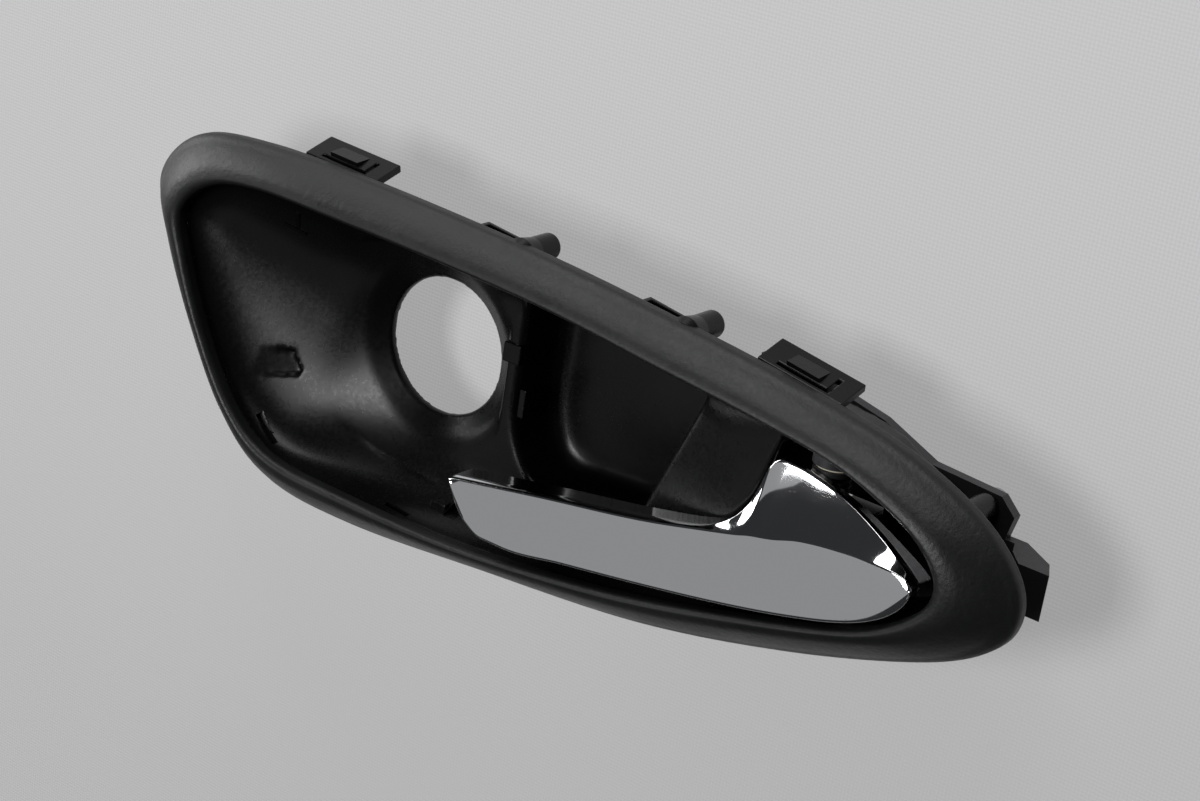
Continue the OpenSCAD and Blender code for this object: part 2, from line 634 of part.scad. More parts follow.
// Face of the travel stop, and the window's edge in front of the stop's post
stop_l = arm_w / 2 + 0.3 + buffer_t;
window_x0 = pivot_x - stop_l * cos(swing)
  - (plate_y + plate_t + pivot_y + stop_l * sin(swing)) * tan(swing) + 0.3;
window_x1 = pivot_x + arm_w / 2 + 0.6;
clip_x = 134;
clip_r = 3;
module ear(z) {
  translate([pivot_x, -pivot_y, z]) difference() {
    union() {
      cylinder(h = ear_t, r = ear_r);
      translate([-ear_r, 0, 0]) cube([2 * ear_r, pivot_y + plate_y + 0.5, ear_t]);
    }
    translate([0, 0, -1]) cylinder(h = ear_t + 2, r = bush_r);
  }
}
module stop_post(at, size) {
  translate(at) cube(size);
}
module carrier() {
  post_z = arm_z - arm_t / 2 + 0.5;
  post_h = arm_t - 1;
  color("#2b2c30") difference() {
    union() {
      slab(plate_y, plate_y + plate_t) difference() {
        polygon(plate_outline);
        translate([window_x0, arm_z - arm_t / 2 - 1]) square([window_x1 - window_x0, arm_t + 2]);
      }
      ear(ear_z1);
      ear(ear_z0 - ear_t);
      // Post behind the rest buffer
      stop_post([rest_x + buffer_t, -2.5, post_z], [2.5, plate_y + 3, post_h]);
      // Post behind the travel buffer, square to the arm when it is fully open
      intersection() {
        translate([pivot_x, -pivot_y, 0]) rotate([0, 0, swing])
          translate([-stop_l - 3, travel_s, post_z]) cube([3, 14, post_h]);
        translate([-far, -far, -far]) cube([3 * far, far + plate_y + 1, 2 * far]);
      }
      // Cable clip
      translate([clip_x, plate_y, arm_z - clip_r - 2.5])
        cube([3, nipple_y - plate_y + clip_r, 2 * clip_r + 5]);
      // End tongue
      translate([0, 0, -4]) linear_extrude(10)
        polygon([
          [138, plate_y + plate_t], [146, plate_y + plate_t], [153.9, 0.2], [156.4, -4.8],
          [149.6, -4.8], [146, -0.5], [144.4, plate_y], [138, plate_y]]);
    }
    translate([clip_x - 1, nipple_y, arm_z]) rotate([0, 90, 0]) cylinder(h = 5, r = clip_r);
    translate([clip_x - 1, nipple_y, arm_z - clip_r + 0.6]) cube([5, 20, 2 * clip_r - 1.2]);
    for (p = boss_at) peg(p[0], -60, 60, p[1], screw_r + 0.2);
    translate([146.2, -2.6, -6]) cube([5.6, 4, 10]);
  }
}
module rest_buffer() {
  color("#111213") translate([rest_x, -2, arm_z - arm_t / 2 + 0.5])
    cube([buffer_t, plate_y + 2, arm_t - 1]);
}
module travel_buffer() {
  color("#111213") translate([pivot_x, -pivot_y, 0]) rotate([0, 0, swing])
    translate([-stop_l, travel_s, arm_z - arm_t / 2 + 0.5]) cube([buffer_t, 5, arm_t - 1]);
}

// Return spring: a coil round the barrel's neck and two legs
spring_r = neck_r + wire_r + 0.25;
coil_points = [
  for (a = [0:30:360 * coil_turns])
    [pivot_x - spring_r * cos(a), -pivot_y - spring_r * sin(a),
     lerp(spring_z0 + wire_r + 0.1, spring_z1 - wire_r - 0.1, a / (360 * coil_turns))]];
spring_path = concat(
  [[pivot_x - arm_w / 2 - wire_r - 0.1, -1, arm_z + 2], [pivot_x - arm_w / 2 - wire_r - 0.1, -4, arm_z + 5.5],
   [pivot_x - spring_r - 0.2, -8, spring_z0 + 0.6]],
  coil_points,
  [[pivot_x - spring_r + 0.3, -6, spring_z1 - 0.7], [pivot_x - spring_r + 0.3, plate_y - wire_r - 0.1, spring_z1 - 0.7]]);
module return_spring() {
  n = 6;
  count = len(spring_path);
  function way(i) = let (a = spring_path[max(i - 1, 0)], b = spring_path[min(i + 1, count - 1)]) (b - a) / norm(b - a);
  points = [
    for (i = [0:count - 1])
      let (w = way(i), side = cross(w, [0.1, 0.05, 1]), s = side / norm(side), t = cross(s, w))
        each [for (k = [0:n - 1]) spring_path[i] + wire_r * (s * cos(360 * k / n) - t * sin(360 * k / n))]];
  last = (count - 1) * n;
  color("#a9adb2") polyhedron(
    points,
    concat(skin(count, n, false), [[for (k = [0:n - 1]) k]], [[for (k = [n - 1:-1:0]) k + last]]),
    convexity = 10);
}

// A screw along the depth with its head at the back
module screw(x, z, head_y, length, r, head_r, head_h) {
  difference() {
    union() {
      peg(x, head_y - length, head_y, z, r);
      peg(x, head_y, head_y + head_h, z, head_r);
    }
    translate([x - 0.5, head_y + head_h * 0.4, z - head_r * 0.6]) cube([1, 5, head_r * 1.2]);
    translate([x - head_r * 0.6, head_y + head_h * 0.4, z - 0.5]) cube([head_r * 1.2, 5, 1]);
  }
}
module carrier_screws() {
  color("#6e7175") for (p = boss_at) screw(p[0], p[1], plate_y + plate_t, screw_l, screw_r, 2.7, 1.8);
}
module cover_screws() {
  color("#6e7175") for (p = cover_screw_at)
    screw(p[0], p[1], core_back, 5, cover_screw_r, 2.2, 1.3);
}
module fixing_inserts() {
  color("#b9a15a") for (p = insert_at) difference() {
    peg(p[0], insert_y, insert_y + insert_l, p[1], insert_r + insert_wall);
    peg(p[0], insert_y - 1, insert_y + insert_l + 1, p[1], insert_r);
  }
}

bezel();
bowl();
switch_socket();
carrier();
lever_cover();
lever_core();
pivot_pin();
pivot_bushes();
pin_clip();
return_spring();
rest_buffer();
travel_buffer();
carrier_screws();
cover_screws();
fixing_inserts();
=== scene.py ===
"""Looks of an inside door handle: trim surround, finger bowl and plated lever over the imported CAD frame."""
import math

import bmesh
import bpy
import numpy as np
from bpy.props import FloatProperty, FloatVectorProperty, PointerProperty
from mathutils import Matrix, Vector


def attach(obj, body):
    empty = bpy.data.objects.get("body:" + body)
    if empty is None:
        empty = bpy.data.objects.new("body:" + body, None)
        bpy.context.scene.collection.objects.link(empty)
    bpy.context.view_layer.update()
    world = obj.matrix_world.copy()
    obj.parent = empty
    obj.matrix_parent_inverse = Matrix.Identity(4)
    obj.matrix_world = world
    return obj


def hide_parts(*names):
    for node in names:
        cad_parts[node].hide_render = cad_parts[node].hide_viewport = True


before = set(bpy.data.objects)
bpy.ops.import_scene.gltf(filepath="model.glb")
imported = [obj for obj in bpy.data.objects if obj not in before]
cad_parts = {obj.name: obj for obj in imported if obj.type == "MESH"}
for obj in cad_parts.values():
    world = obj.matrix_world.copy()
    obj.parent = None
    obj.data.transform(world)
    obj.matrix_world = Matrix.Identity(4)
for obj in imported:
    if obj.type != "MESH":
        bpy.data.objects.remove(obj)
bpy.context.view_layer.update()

bl_info = {
    "name": "Inside door handle looks",
    "version": (1, 0, 0),
    "blender": (4, 5, 0),
    "location": "View3D > Sidebar > Handle",
    "description": "Builds the surround, bowl and plated lever of an inside door handle",
    "category": "Object",
}

MM = 0.001
# Points nearer to each other than this (m) become one
MERGE = 0.000005
HOUSING = "housing"
LEVER = "lever"

# Outlines in millimetres (x, z), from the pointed end round over the top
OUTER_POINTS = [
    (157.2, 0.5), (154, 9), (143.4, 17.6), (125, 24.7), (101, 29), (76, 32), (45, 35), (15, 36.8),
    (-15, 37.7), (-45, 37.4), (-66, 33.8), (-76.5, 22.5), (-73, 9.5), (-63, -9), (-49.5, -29),
    (-34, -41), (-8, -43), (30, -39.6), (73, -35), (110, -26.5), (140, -16.2), (153.5, -7.8)]
INNER_POINTS = [
    (141.4, 2), (138.5, 8), (131, 13.3), (115.5, 19), (95, 22), (72, 24.3), (43, 27.3), (15, 28.5),
    (-14, 29), (-40, 29), (-55, 25.5), (-63, 17.2), (-60.5, 7), (-53, -8.5), (-42, -24), (-29, -32),
    (-6, -33.5), (28, -32.8), (68, -27.5), (102, -19.6), (126, -12.4), (138, -4.6)]
CREST_Y = -24.3
# Section of the surround: share of the band's width, depth behind the crest
SURROUND_SECTION = [
    (0.00, 3.4), (0.00, 2.2), (0.00, 1.4), (0.018, 0.78), (0.05, 0.36), (0.09, 0.1), (0.14, 0.0), (0.24, 0.3),
    (0.36, 0.9), (0.49, 1.95), (0.62, 3.2), (0.74, 4.55), (0.85, 6.0), (0.93, 6.9), (0.975, 7.6),
    (0.995, 8.2), (1.00, 8.9), (1.00, 10.1), (0.93, 10.1), (0.62, 5.8), (0.22, 2.7), (0.10, 3.4)]

# The lever's cover: its lower edge, the crease over its face and the top of its neck (x, z)
LOWER_EDGE = [
    (25, -17.6), (25.6, -20), (27.5, -23.2), (30.5, -26), (35, -28), (41, -28), (57, -25.5),
    (77.4, -22.2), (97, -18.6), (111.6, -15.3), (124, -11.6), (131, -8.2), (135.5, -4.4), (137.5, -1),
    (138, 1.2)]
CREASE_EDGE = [
    (25, -16.9), (49, -12.3), (74.6, -7.7), (90, -4), (98.5, -2), (105.5, -0.4), (112, 1.8),
    (119, 3), (126, 3.6), (132, 3.6), (135.5, 3.2), (138, 1.6)]
NECK_EDGE = [
    (25, -16.6), (49, -12), (74.6, -7.4), (88, -4.2), (92, -2.4), (95, 0), (97, 3), (98.6, 7.8),
    (99.6, 11.5), (100.8, 13.8), (102.4, 14.7), (105, 14.6), (112.6, 13.2), (120.2, 10.8), (126.8, 8),
    (132, 5.4), (135.5, 3.5), (138, 1.8)]
# How far the top edge stands behind the face (x, depth)
NECK_BACK = [(25, 0.5), (86, 0.6), (94, 2), (99, 4.4), (112, 5.2), (128, 3.6), (138, 0.8)]
FACE_Y = -25.0
BAR_BACK = -17.5
LEVER_X0, LEVER_LONG = 25, 113
COVER_WALL = 1.7
COVER_ROUND = 0.9
FACE_HOLLOW, NECK_HUMP = 0.5, 0.5
# Points of one section: round the lower edge, up the face and up the neck
SECTION_POINTS = (4, 22, 26)


def closed_curve(points, n):
    """Catmull-Rom curve through a closed list of points, with n steps between each two."""
    p = np.array(points, float)
    a, c, d = np.roll(p, 1, 0), np.roll(p, -1, 0), np.roll(p, -2, 0)
    t = (np.arange(n) / n)[None, :, None]
    a, b, c, d = (q[:, None, :] for q in (a, p, c, d))
    out = 0.5 * (2 * b + (c - a) * t + (2 * a - 5 * b + 4 * c - d) * t**2 + (3 * b - a - 3 * c + d) * t**3)
    return out.reshape(-1, 2)


def smooth_along(pairs, x):
    """Value at x from (x, value) pairs, on a smooth curve that never overshoots them."""
    px, py = np.array(pairs, float).T
    h, delta = np.diff(px), np.diff(py) / np.diff(px)
    slope = np.zeros(len(px))
    w1, w2 = 2 * h[1:] + h[:-1], h[1:] + 2 * h[:-1]
    same = delta[:-1] * delta[1:] > 0
    safe = np.where(same, delta[:-1], 1), np.where(same, delta[1:], 1)
    slope[1:-1] = np.where(same, (w1 + w2) / (w1 / safe[0] + w2 / safe[1]), 0)
    slope[0], slope[-1] = delta[0], delta[-1]
    x = np.clip(x, px[0], px[-1])
    i = np.clip(np.searchsorted(px, x) - 1, 0, len(h) - 1)
    t = (x - px[i]) / h[i]
    return ((1 + 2 * t) * (1 - t) ** 2 * py[i] + t * (1 - t) ** 2 * h[i] * slope[i]
            + t * t * (3 - 2 * t) * py[i + 1] + t * t * (t - 1) * h[i] * slope[i + 1])


def outline_distance(outline, x, z, chunk=8000):
    """Signed distance to a closed outline, negative inside, and the index of the nearest segment."""
    a = np.asarray(outline, float)
    e = np.roll(a, -1, 0) - a
    px, pz = x.ravel(), z.ravel()
    dist, near = np.empty(px.size), np.empty(px.size, int)
    for start in range(0, px.size, chunk):
        part = slice(start, start + chunk)
        dx, dz = px[part, None] - a[:, 0], pz[part, None] - a[:, 1]
        t = np.clip((dx * e[:, 0] + dz * e[:, 1]) / (e**2).sum(1), 0, 1)
        d2 = (dx - t * e[:, 0]) ** 2 + (dz - t * e[:, 1]) ** 2
        k = d2.argmin(1)
        below, above = dz >= 0, dz < e[:, 1]
        side = e[:, 0] * dz - e[:, 1] * dx
        wind = ((below & above & (side > 0)).sum(1) - (~below & ~above & (side < 0)).sum(1)) != 0
        dist[part] = np.sqrt(d2[np.arange(len(k)), k]) * np.where(wind, -1, 1)
        near[part] = k
    return dist.reshape(x.shape), near.reshape(x.shape)


def smooth_min(a, b, r):
    """Union of two distance fields with a fillet of about r."""
    h = np.clip(0.5 + 0.5 * (b - a) / r, 0, 1)
    return b + (a - b) * h - r * h * (1 - h)


def smooth_max(a, b, r):
    """Overlap of two distance fields with a rounding of about r."""
    return -smooth_min(-a, -b, r)


def surface_net(field, origin, step):
    """Quads round the zero level of a field: one vertex in each cell that the surface crosses."""
    inside = field < 0
    nx, ny, nz = (n - 1 for n in field.shape)
    size = (nx, ny, nz)
    total, count = np.zeros(size + (3,), np.float32), np.zeros(size, np.float32)
    grid = np.indices(field.shape, dtype=np.float32)
    crossings = []
    for axis in range(3):
        lo = [slice(None)] * 3
        hi = [slice(None)] * 3
        lo[axis], hi[axis] = slice(0, -1), slice(1, None)
        v0, v1 = field[tuple(lo)], field[tuple(hi)]
        cross = inside[tuple(lo)] != inside[tuple(hi)]
        t = np.where(cross, v0 / np.where(cross, v0 - v1, 1), 0)
        crossings.append((cross, inside[tuple(lo)]))
        others = [k for k in range(3) if k != axis]
        for da in (0, 1):
            for db in (0, 1):
                cut = [slice(None)] * 3
                cut[others[0]] = slice(da, da + size[others[0]])
                cut[others[1]] = slice(db, db + size[others[1]])
                m = cross[tuple(cut)].astype(np.float32)
                count += m
                for k in range(3):
                    pos = grid[k][tuple(lo)][tuple(cut)]
                    total[..., k] += m * (pos + t[tuple(cut)] if k == axis else pos)
    used = count > 0
    index = np.full(size, -1, int)
    index[used] = np.arange(used.sum())
    points = total[used] / count[used][:, None] * step + np.asarray(origin)
    quads = []
    for axis, (cross, low_inside) in enumerate(crossings):
        a, b = [k for k in range(3) if k != axis]
        where = np.argwhere(cross)
        keep = (where[:, a] > 0) & (where[:, b] > 0) & (where[:, a] < size[a]) & (where[:, b] < size[b])
        where = where[keep]
        cell = []
        for da, db in ((1, 1), (0, 1), (0, 0), (1, 0)):
            q = where.copy()
            q[:, a] -= da
            q[:, b] -= db
            cell.append(index[tuple(q.T)])
        face = np.stack(cell, 1)
        flip = low_inside[tuple(where.T)] == (axis != 1)
        face[~flip] = face[~flip][:, ::-1]
        quads.append(face)
    return points, np.concatenate(quads)


def relax(points, quads, rounds=2):
    """Moves each point half way to the middle of its neighbours, a few times over."""
    start, end = np.concatenate([np.stack((quads[:, k], quads[:, (k + 1) % 4]), 1) for k in range(4)]).T
    count = np.bincount(start, minlength=len(points))[:, None]
    for _ in range(rounds):
        total = np.stack([np.bincount(start, points[end, k], len(points)) for k in range(3)], 1)
        points = points + 0.5 * (total / np.maximum(count, 1) - points) * (count > 0)
    return points


def new_object(name, points, faces):
    """Smooth mesh object from points in millimetres."""
    mesh = bpy.data.meshes.new(name)
    mesh.from_pydata((np.asarray(points, float) * MM).tolist(), [], [list(map(int, f)) for f in faces])
    mesh.validate()
    mesh.polygons.foreach_set("use_smooth", np.ones(len(mesh.polygons), bool))
    obj = bpy.data.objects.new(name, mesh)
    bpy.context.scene.collection.objects.link(obj)
    return obj


def bake_modifiers(obj):
    """Puts the result of the modifiers into the mesh."""
    bpy.context.view_layer.update()
    graph = bpy.context.evaluated_depsgraph_get()
    mesh = bpy.data.meshes.new_from_object(obj.evaluated_get(graph), depsgraph=graph)
    obj.modifiers.clear()
    obj.data = mesh


def loft(rings):
    """Bmesh of closed rings of points in millimetres, each extruded from the one before.
    Returns the first and the last ring's vertices with it."""
    bm = bmesh.new()
    ring = first = [bm.verts.new(Vector(p) * MM) for p in rings[0]]
    edges = [bm.edges.new(pair) for pair in zip(first, first[1:] + first[:1])]
    for points in rings[1:]:
        out = bmesh.ops.extrude_edge_only(bm, edges=edges)["geom"]
        fresh = {v for v in out if isinstance(v, bmesh.types.BMVert)}
        edges = [e for e in out if isinstance(e, bmesh.types.BMEdge) and set(e.verts) <= fresh]
        ring = [next(e.other_vert(v) for e in v.link_edges if e.other_vert(v) in fresh) for v in ring]
        for vert, p in zip(ring, points):
            vert.co = Vector(p) * MM
    return bm, first, ring


def finish(name, bm, smooth=True):
    """Object from a bmesh, with its doubles merged and its faces turned outwards."""
    bmesh.ops.remove_doubles(bm, verts=bm.verts, dist=MERGE)
    bmesh.ops.recalc_face_normals(bm, faces=bm.faces)
    for face in bm.faces:
        face.smooth = smooth
    mesh = bpy.data.meshes.new(name)
    bm.to_mesh(mesh)
    bm.free()
    obj = bpy.data.objects.new(name, mesh)
    bpy.context.scene.collection.objects.link(obj)
    return obj


def bevel_sharp(bm, faces, width, sharp=0.5):
    """Rounds the edges of some faces where they turn by more than an angle in radians."""
    edges = {e for f in faces for e in f.edges if len(e.link_faces) == 2 and e.calc_face_angle() > sharp}
    bmesh.ops.bevel(bm, geom=list(edges), offset=width * MM, affect="EDGES", segments=2,
                    profile=0.5, material=-1)


def plate(bm, xs, ys, holes, height, place, width=0.25):
    """Flat plate of cells between the lines xs and ys, without its holes, made thick and then rounded."""
    grid = [[bm.verts.new((x * MM, y * MM, 0)) for y in ys] for x in xs]
    faces = [bm.faces.new((grid[i][j], grid[i + 1][j], grid[i + 1][j + 1], grid[i][j + 1]))
             for i in range(len(xs) - 1) for j in range(len(ys) - 1) if (i, j) not in holes]
    used = {v for f in faces for v in f.verts}
    bmesh.ops.delete(bm, geom=[v for column in grid for v in column if v not in used], context="VERTS")
    out = bmesh.ops.extrude_face_region(bm, geom=faces)["geom"]
    top = [v for v in out if isinstance(v, bmesh.types.BMVert)]
    bmesh.ops.translate(bm, verts=top, vec=(0, 0, height * MM))
    verts = used | set(top)
    bmesh.ops.recalc_face_normals(bm, faces=list({f for v in verts for f in v.link_faces}))
    bmesh.ops.transform(bm, matrix=place, verts=list(verts))
    if width:
        bevel_sharp(bm, {f for v in verts for f in v.link_faces}, width)
    return verts


def block(bm, low, high, place=None, width=0.25):
    """Box between two corners in millimetres, with rounded edges."""
    place = place or Matrix.Identity(4)
    return plate(bm, (low[0], high[0]), (low[1], high[1]), (), high[2] - low[2],
                 place @ Matrix.Translation((0, 0, low[2] * MM)), width)


def strip(bm, ends, facing, width, low, high):
    """Straight bar from one end to the other, from low to high in the way that it faces."""
    a, b = (Vector(p) for p in ends)
    along = (b - a).normalized()
    out = Vector(facing)
    out = (out - along * out.dot(along)).normalized()
    place = Matrix((along, out.cross(along), out)).transposed().to_4x4()
    place.translation = (a + b) / 2 * MM
    half = (b - a).length / 2
    block(bm, (-half, -width / 2, low), (half, width / 2, high), place, 0)


def lathe(bm, profile, place, steps=48):
    """Turned form round its own Z: profile of (radius, height) pairs in millimetres."""
    verts = [bm.verts.new((r * MM, 0, h * MM)) for r, h in profile]
    edges = [bm.edges.new(pair) for pair in zip(verts, verts[1:])]
    before = set(bm.verts) - set(verts)
    bmesh.ops.spin(bm, geom=verts + edges, cent=(0, 0, 0), axis=(0, 0, 1), dvec=(0, 0, 0),
                   angle=math.tau, steps=steps, use_merge=True, use_duplicate=False)
    fresh = [v for v in bm.verts if v not in before]
    bmesh.ops.remove_doubles(bm, verts=fresh, dist=MERGE)
    fresh = [v for v in bm.verts if v not in before]
    bmesh.ops.recalc_face_normals(bm, faces=list({f for v in fresh for f in v.link_faces}))
    bmesh.ops.transform(bm, matrix=place, verts=fresh)


def at(x, y, z):
    """Move by millimetres."""
    return Matrix.Translation((x * MM, y * MM, z * MM))


def turn(degrees, axis):
    """Turn about one axis."""
    return Matrix.Rotation(math.radians(degrees), 4, axis)


class Bench:
    """Node tree of one material, with its shader."""

    def __init__(self, name):
        self.material = bpy.data.materials.new(name)
        self.material.use_nodes = True
        self.tree = self.material.node_tree
        self.tree.nodes.clear()
        self.shader = self.tree.nodes.new("ShaderNodeBsdfPrincipled")
        self.out = self.tree.nodes.new("ShaderNodeOutputMaterial")
        self.tree.links.new(self.shader.outputs[0], self.out.inputs[0])

    def node(self, kind, output=0, inputs=None, **settings):
        """Any node: settings are its properties, inputs its sockets by name or number."""
        n = self.tree.nodes.new(kind)
        for key, value in settings.items():
            setattr(n, key, value)
        for key, value in (inputs or {}).items():
            put(self, n.inputs[key], value)
        return Value(self, n.outputs[output])

    def place(self):
        """Object coordinates."""
        return self.node("ShaderNodeTexCoord", "Object")

    def noise(self, scale, detail, roughness, where=None):
        """Cloudy pattern between 0 and 1, on Object coordinates unless others are given."""
        return self.node("ShaderNodeTexNoise", 0, {
            "Vector": where or self.place(), "Scale": scale, "Detail": detail, "Roughness": roughness})

    def ramp(self, value, low, high, to_low=0.0, to_high=1.0):
        """Value taken from one range to another and kept inside it."""
        return self.node("ShaderNodeMapRange", 0, {
            "Value": value, "From Min": low, "From Max": high, "To Min": to_low, "To Max": to_high})

    def mix(self, share, a, b):
        """Colour between two, by a share."""
        return self.node("ShaderNodeMix", 2, {0: share, 6: a, 7: b}, data_type="RGBA")

    def bump(self, height, distance, strength):
        """Normal of a relief of some height in metres."""
        return self.node("ShaderNodeBump", 0, {"Height": height, "Distance": distance, "Strength": strength})

    def set(self, **values):
        """Sets or links the shader's sockets, and gives the material."""
        for key, value in values.items():
            put(self, self.shader.inputs[key.replace("_", " ")], value)
        return self.material


def put(bench, socket, value):
    """Links a value to a socket, or sets a number, vector or colour on it."""
    if isinstance(value, Value):
        bench.tree.links.new(value.socket, socket)
    elif isinstance(value, (tuple, list)) and len(value) == 3 and socket.type == "RGBA":
        socket.default_value = (*value, 1.0)
    else:
        socket.default_value = value


class Value:
    """Output socket with arithmetic."""

    def __init__(self, bench, socket):
        self.bench, self.socket = bench, socket

    def _math(self, operation, first, second):
        return self.bench.node("ShaderNodeMath", 0, {0: first, 1: second}, operation=operation)

    def __add__(self, other):
        return self._math("ADD", self, other)

    def __radd__(self, other):
        return self._math("ADD", other, self)

    def __sub__(self, other):
        return self._math("SUBTRACT", self, other)

    def __rsub__(self, other):
        return self._math("SUBTRACT", other, self)

    def __mul__(self, other):
        return self._math("MULTIPLY", self, other)

    def __rmul__(self, other):
        return self._math("MULTIPLY", other, self)


# The bowl, as a distance field in millimetres

FIELD_LOW, FIELD_HIGH = (-78.0, -21.9, -44.4), (157.5, 12.4, 39.0)
CURVE_STEPS = 12
BOWL_MOST = 170000
# Depth of the rim, its place across the surround's band, and the thickness of the skin
RIM_Y, RIM_SHARE, WALL = -20.55, 0.03, 2.2
# Width of the cove at the wide end, along the middle and at the pointed end, and the stretches of x between
COVE_WIDE, COVE_MIDDLE, COVE_END = 34, 12, 3
COVE_NARROWS, COVE_ENDS = (-52, 0), (84, 104)
# Switch hole, the funnel round it, the lip between them, and where the funnel ends at its flat side
HOLE_R, LIP, SOCKET_FLAT = 16.0, 0.5, 20.9
FUNNEL_H, FUNNEL_R, FUNNEL_FALL, FUNNEL_ROUND, FUNNEL_TOP = 4.4, 22.8, 1.5, 2.2, 2.4
# How far the coves' ripples and creases are blurred
RIPPLE_BLUR, CREASE_BLUR = 1.8, 3.6
# Depths under the rim over which the blur sets in, and the stretch of x where it ends
BLUR_DEPTHS, BLUR_ENDS = (2.5, 9), (70, 84)
# The floor rises away from the funnel, and further on to the lid over the pointed end
FLOOR_SLOPE, SLOPE_ENDS = 0.2, (-6, 24)
LID_Y = -15.8
LID_LEAN, LID_Z, LID_X0, LID_RUN, LID_POWER = 0.46, 16, 66, 32, 0.8
# Finger pocket: its top and bottom, how much it narrows, and its roundings
POCKET_TOP, POCKET_Y, POCKET_TAPER = -8.5, 9.0, 3
MOUTH_ROUND, POCKET_ROUND, POCKET_FILLET = 5, 4, 1.6
# Front of the carrier's plate, and the back of the surround's outer edge
PLATE_Y = 3.4
EDGE_BACK = -13.85
# Underside of the surround: how far it lies behind the crest, from its inner part outwards
UNDER_Y, UNDER_START, UNDER_RUN, UNDER_DEPTHS, UNDER_GAP = 2.5, 0.22, 0.71, (0.3, 7.6), 0.35
FLANGE_HALF, FLANGE_END, FLANGE_START = 1, 0.86, 0.25
POCKET_MOUTH = [(23.4, 23.5), (23.4, -12), (32, -23), (62, -20.5), (77, 20)]
WELL_X0, WELL_LIP, WELL_HIGH = 82.0, 1.3, 17
# How far the well and the lugs sink into the skin, the room kept behind it, and a small gap to the carrier
SINK, CLEAR, HAIR = 0.8, 0.4, 0.02
WELL_BACK = [
    (82, 22), (98, 20.4), (110, 18.6), (116, 17), (120, 14.6), (127, 11.8), (134, 8.8), (139.8, 4.6),
    (141.2, 0), (140, -3.6), (136.6, -7), (131, -11), (124, -14), (112, -17.6), (82, -22)]
WINDOW_EDGE = [(99.6, 30), (99.6, 20), (97.8, 13), (96.6, 8), (94.6, 2), (91.4, -4), (91, -12), (91, -30)]
# Screw bosses and insert lugs: x, z and the depth where each one starts
BOSSES = [(92.5, 14.5, -13), (88, -15, -14.5), (136.8, 11.4, -19.8)]
BOSS_R, BOSS_BORE_R, BOSS_BORE_Y = 3, 1.45, -5
LUGS = [(-50, 20, -17), (12, -35.2, -15.6)]
LUG_R, LUG_Y, LUG_BORE_R, LUG_BORE_Y = 4.8, 6, 3.0, -1
# Slots by the two ends of their middle line, and how deep and high they are
SLOTS = [((-38.2, -17.1, -26.0), (-31.3, -18.2, -30.8)), ((2.5, -17.4, -33.5), (9.7, -18.2, -33.5))]
SLOT_DEPTH, SLOT_HEIGHT = 1.4, 1.4
RAMP = [(-42.9, -18.3), (-32.9, -16.0), (-36.2, -10.9), (-42.7, -12.0)]
RAMP_X0, RAMP_FALL, RAMP_ROUND = -43.2, 0.12, 0.4
# Corners of the hole and of the block beside the lever's free end
HOOK_HOLE = ((15.8, -16, -32.4), (19.2, -9.2, -30.4))
SNAP_BLOCK = ((11.2, -12.6, -32.8), (15.4, -9.2, -30.6))
# T-shaped mark in the cove: the two ends of each stroke, and the way that it faces
T_MARK = [((-41.2, -11.1, 19.6), (-35.8, -9.3, 18.3)), ((-37.0, -12.3, 23.7), (-38.0, -10.2, 19.5))]
T_FACING = (0.4, -0.8, -0.45)
T_STROKE = (0.9, -1.5, 1.4)
# Clip tabs and locating pins: x, z and the slope of the edge in degrees
CLIP_TABS = [(-25, 37.6, 2.5), (99.2, 29.2, 8.7)]
LOCATORS = [(27.4, 33.4, 6), (71.2, 30, 8)]
# Lines of a clip tab's plate and its open cells, then its wedge and the two strips under it
TAB_XS, TAB_YS, TAB_OPEN = (0, 3.99, 16.01, 17.01, 21), (0, 1, 2, 6.1, 8.5), ((1, 1), (2, 1), (2, 2))
TAB_THICK, TAB_LEAN, TAB_MIDDLE = 1.8, 18, 10.5
WEDGE_SIZE, WEDGE_AT, WEDGE_FALL = (7.98, 4.25, 1.1), (5.67, 2.2, 1.75), 1
TAB_STRIPS = [((0, -3.2, -2.3), (21, 0.8, -0.8)), ((0, 0.05, -2.3), (21, 1.15, 0.3))]
# Lines of a pin's frame and its open cell, the strip under it, and the pin's profile
FRAME_XS, FRAME_YS, FRAME_OPEN, FRAME_THICK = (0, 1.1, 9.5, 10.6), (0, 2.4, 3.5), ((1, 0),), 3
FRAME_OFFSET = 1.8
FRAME_STRIP = ((0, -2.4, 0), (10.6, 0.2, 1.2))
PIN_PROFILE = [
    (0, -2.0), (2.6, -2.0), (3.6, -0.2), (3.6, 0), (3.0, 4.0), (3.0, 9.85), (2.9, 10.15), (2.6, 10.35),
    (0, 10.35)]
# Corners of the key block and the small stop beside the switch hole
STOPS = [((19.8, -5.0, 4.6), (24.6, -2.6, 9.2)), ((24.4, -3.0, -8.0), (26.2, 0.6, -1.2))]


def lerp(a, b, t):
    """From a at 0 to b at 1."""
    return a + (b - a) * t


def ease(a, b, x):
    """Soft step from 0 at a to 1 at b."""
    t = np.clip((x - a) / (b - a), 0, 1)
    return t * t * (3 - 2 * t)


def round_polygon(corners, x, z, r):
    """Distance field of a convex polygon with rounded corners."""
    c = np.array(corners, float)
    centre = c.mean(0)
    field = None
    for p, q in zip(c, np.roll(c, -1, 0)):
        n = np.array([q[1] - p[1], p[0] - q[0]]) / np.hypot(*(q - p))
        if n @ (centre - p) > 0:
            n = -n
        side = (x - p[0]) * n[0] + (z - p[1]) * n[1]
        field = side if field is None else smooth_max(field, side, r)
    return field


